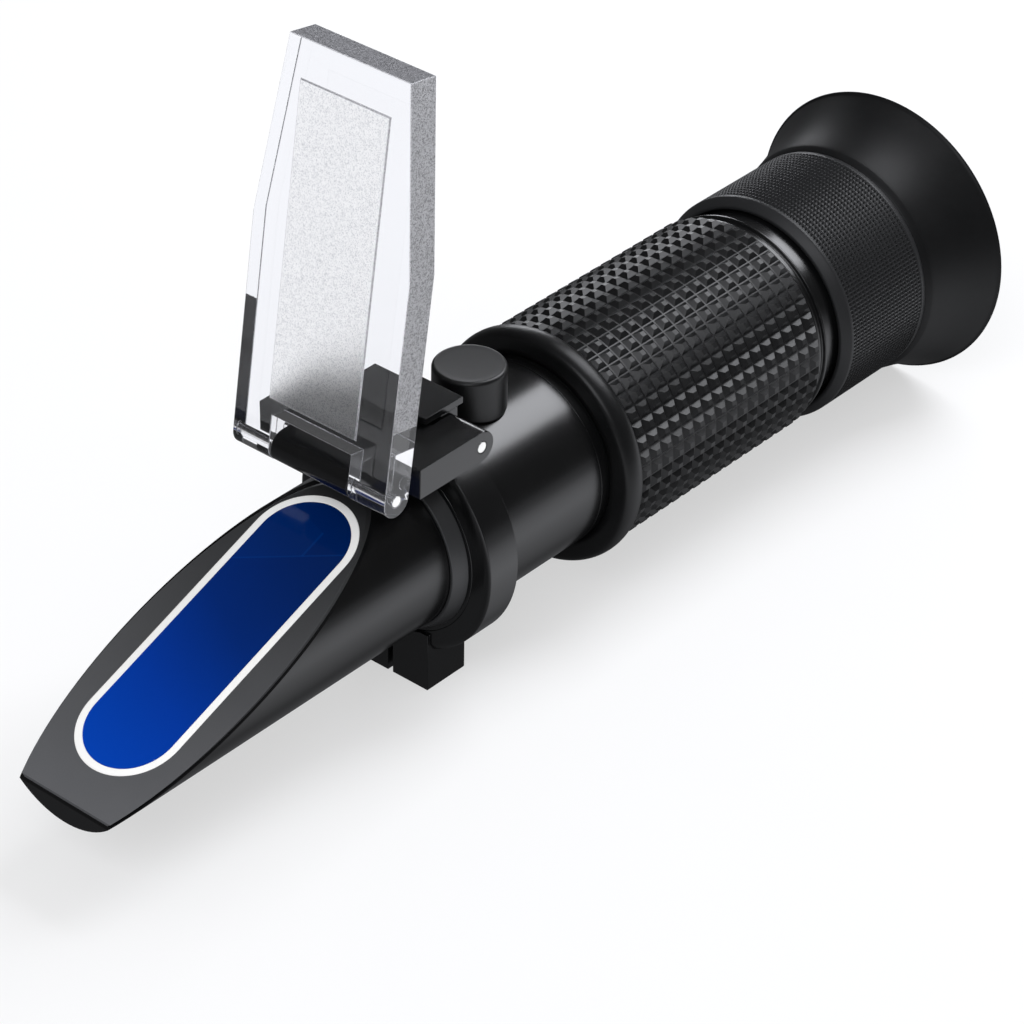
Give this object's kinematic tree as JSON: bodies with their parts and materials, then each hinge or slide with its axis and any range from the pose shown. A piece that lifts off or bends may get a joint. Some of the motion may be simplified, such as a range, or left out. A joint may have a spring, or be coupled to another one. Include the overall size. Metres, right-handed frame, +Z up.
{
  "type": "brix refractometer",
  "caption": "Hand-held brix refractometer: sloping prism window at the nose, clear hinged daylight cover, capped calibration screw, ribbed grip and focusing eyepiece with a flared eyecup.",
  "frame": {"origin": "under the middle of the overall length, at the plane the part lies on", "axes": "+X along the optical axis from the nose to the eyecup, +Z up from the lying plane through the clamp lugs to the cover side, +Y completes the right-handed set"},
  "size_m": [0.16, 0.0416, 0.0907],
  "materials": {
    "satin_black": "satin black anodised",
    "bezel_grey": "bead-blasted dark grey anodised",
    "knurled_black": "black anodised, fine knurl",
    "matt_black": "matt black anodised, inside the tube",
    "white_seal": "smooth white silicone",
    "blue_glass": "polished blue-tinted optical glass",
    "lens_glass": "polished and coated",
    "clear_acrylic": "clear, with one face and one edge frosted",
    "pin_steel": "ground pin, ends cut flush",
    "screw_steel": "blackened screw steel",
    "strip_steel": "rolled bimetal strip",
    "turned_brass": "turned",
    "cap_rubber": "smooth moulded rubber",
    "grip_rubber": "moulded rubber with small pyramids",
    "cup_rubber": "soft matt rubber",
    "seal_rubber": "plain o-ring"
  },
  "bodies": {
    "barrel": {"main_tube": "satin_black", "nose_housing": "satin_black", "prism_bezel": "bezel_grey", "prism_gasket": "white_seal", "measuring_prism": "blue_glass", "prism_set_screws": "screw_steel", "aperture_stop": "matt_black", "nose_collar": "satin_black", "hinge_bracket": "satin_black", "clamp_screw": "screw_steel", "hinge_stop_plate": "satin_black", "stop_plate_pegs": "screw_steel", "rear_hinge_pin": "pin_steel", "calibration_boss": "turned_brass", "scale_cell": "matt_black", "scale_disc": "lens_glass", "scale_retainer": "matt_black", "grip_sleeve": "grip_rubber", "grip_end_ring": "satin_black"},
    "link": {"hinge_link": "satin_black", "front_hinge_pin": "pin_steel"},
    "cover": {"daylight_cover": "clear_acrylic"},
    "focus_seal": {"focus_o_ring": "seal_rubber"},
    "eyepiece": {"focus_ring": "knurled_black", "eyepiece_tube": "matt_black", "eyecup": "cup_rubber", "field_lens": "lens_glass", "lens_spacer": "matt_black", "eye_lens": "lens_glass", "field_lens_retainer": "matt_black", "eye_lens_retainer": "matt_black"},
    "cap": {"calibration_cap": "cap_rubber"},
    "calibration_screw": {"calibration_screw": "turned_brass", "screw_retaining_clip": "screw_steel"},
    "lens_carrier": {"objective_cell": "matt_black", "objective_lens": "lens_glass", "objective_retainer": "matt_black", "compensating_strip": "strip_steel", "strip_screws": "screw_steel"}
  },
  "joints": [
    {"name": "link_swing", "type": "hinge", "parent": "barrel", "child": "link", "pos_m": [-0.02005, 0, 0.0382], "axis": [0, -1, 0], "range_deg": [-4, 20.6]},
    {"name": "cover_swing", "type": "hinge", "parent": "link", "child": "cover", "pos_m": [-0.0357, 0, 0.0382], "axis": [0, -1, 0], "range_deg": [-25, 99.4]},
    {"name": "focus_travel", "type": "slide", "parent": "barrel", "child": "focus_seal", "axis": [1, 0, 0], "range_m": [-0.0025, 0.0025]},
    {"name": "focus_turn", "type": "hinge", "parent": "focus_seal", "child": "eyepiece", "pos_m": [0, 0, 0.0208], "axis": [1, 0, 0], "range_deg": [-179.5, 179.5]},
    {"name": "cap_pull", "type": "slide", "parent": "barrel", "child": "cap", "axis": [0, 0, 1], "range_m": [0, 0.012]},
    {"name": "calibration_turn", "type": "hinge", "parent": "barrel", "child": "calibration_screw", "pos_m": [-0.0084, 0, 0.0208], "axis": [0, 0, 1], "range_deg": [-290, 290]},
    {"name": "lens_lift", "type": "slide", "parent": "barrel", "child": "lens_carrier", "axis": [0, 0, 1], "range_m": [-0.0004, 0.0004]}
  ],
  "couplings": [
    {"joint": "focus_travel", "follows": "focus_turn", "m_per_rad": 0.00079},
    {"joint": "calibration_turn", "follows": "lens_lift", "rad_per_m": 12566}
  ]
}
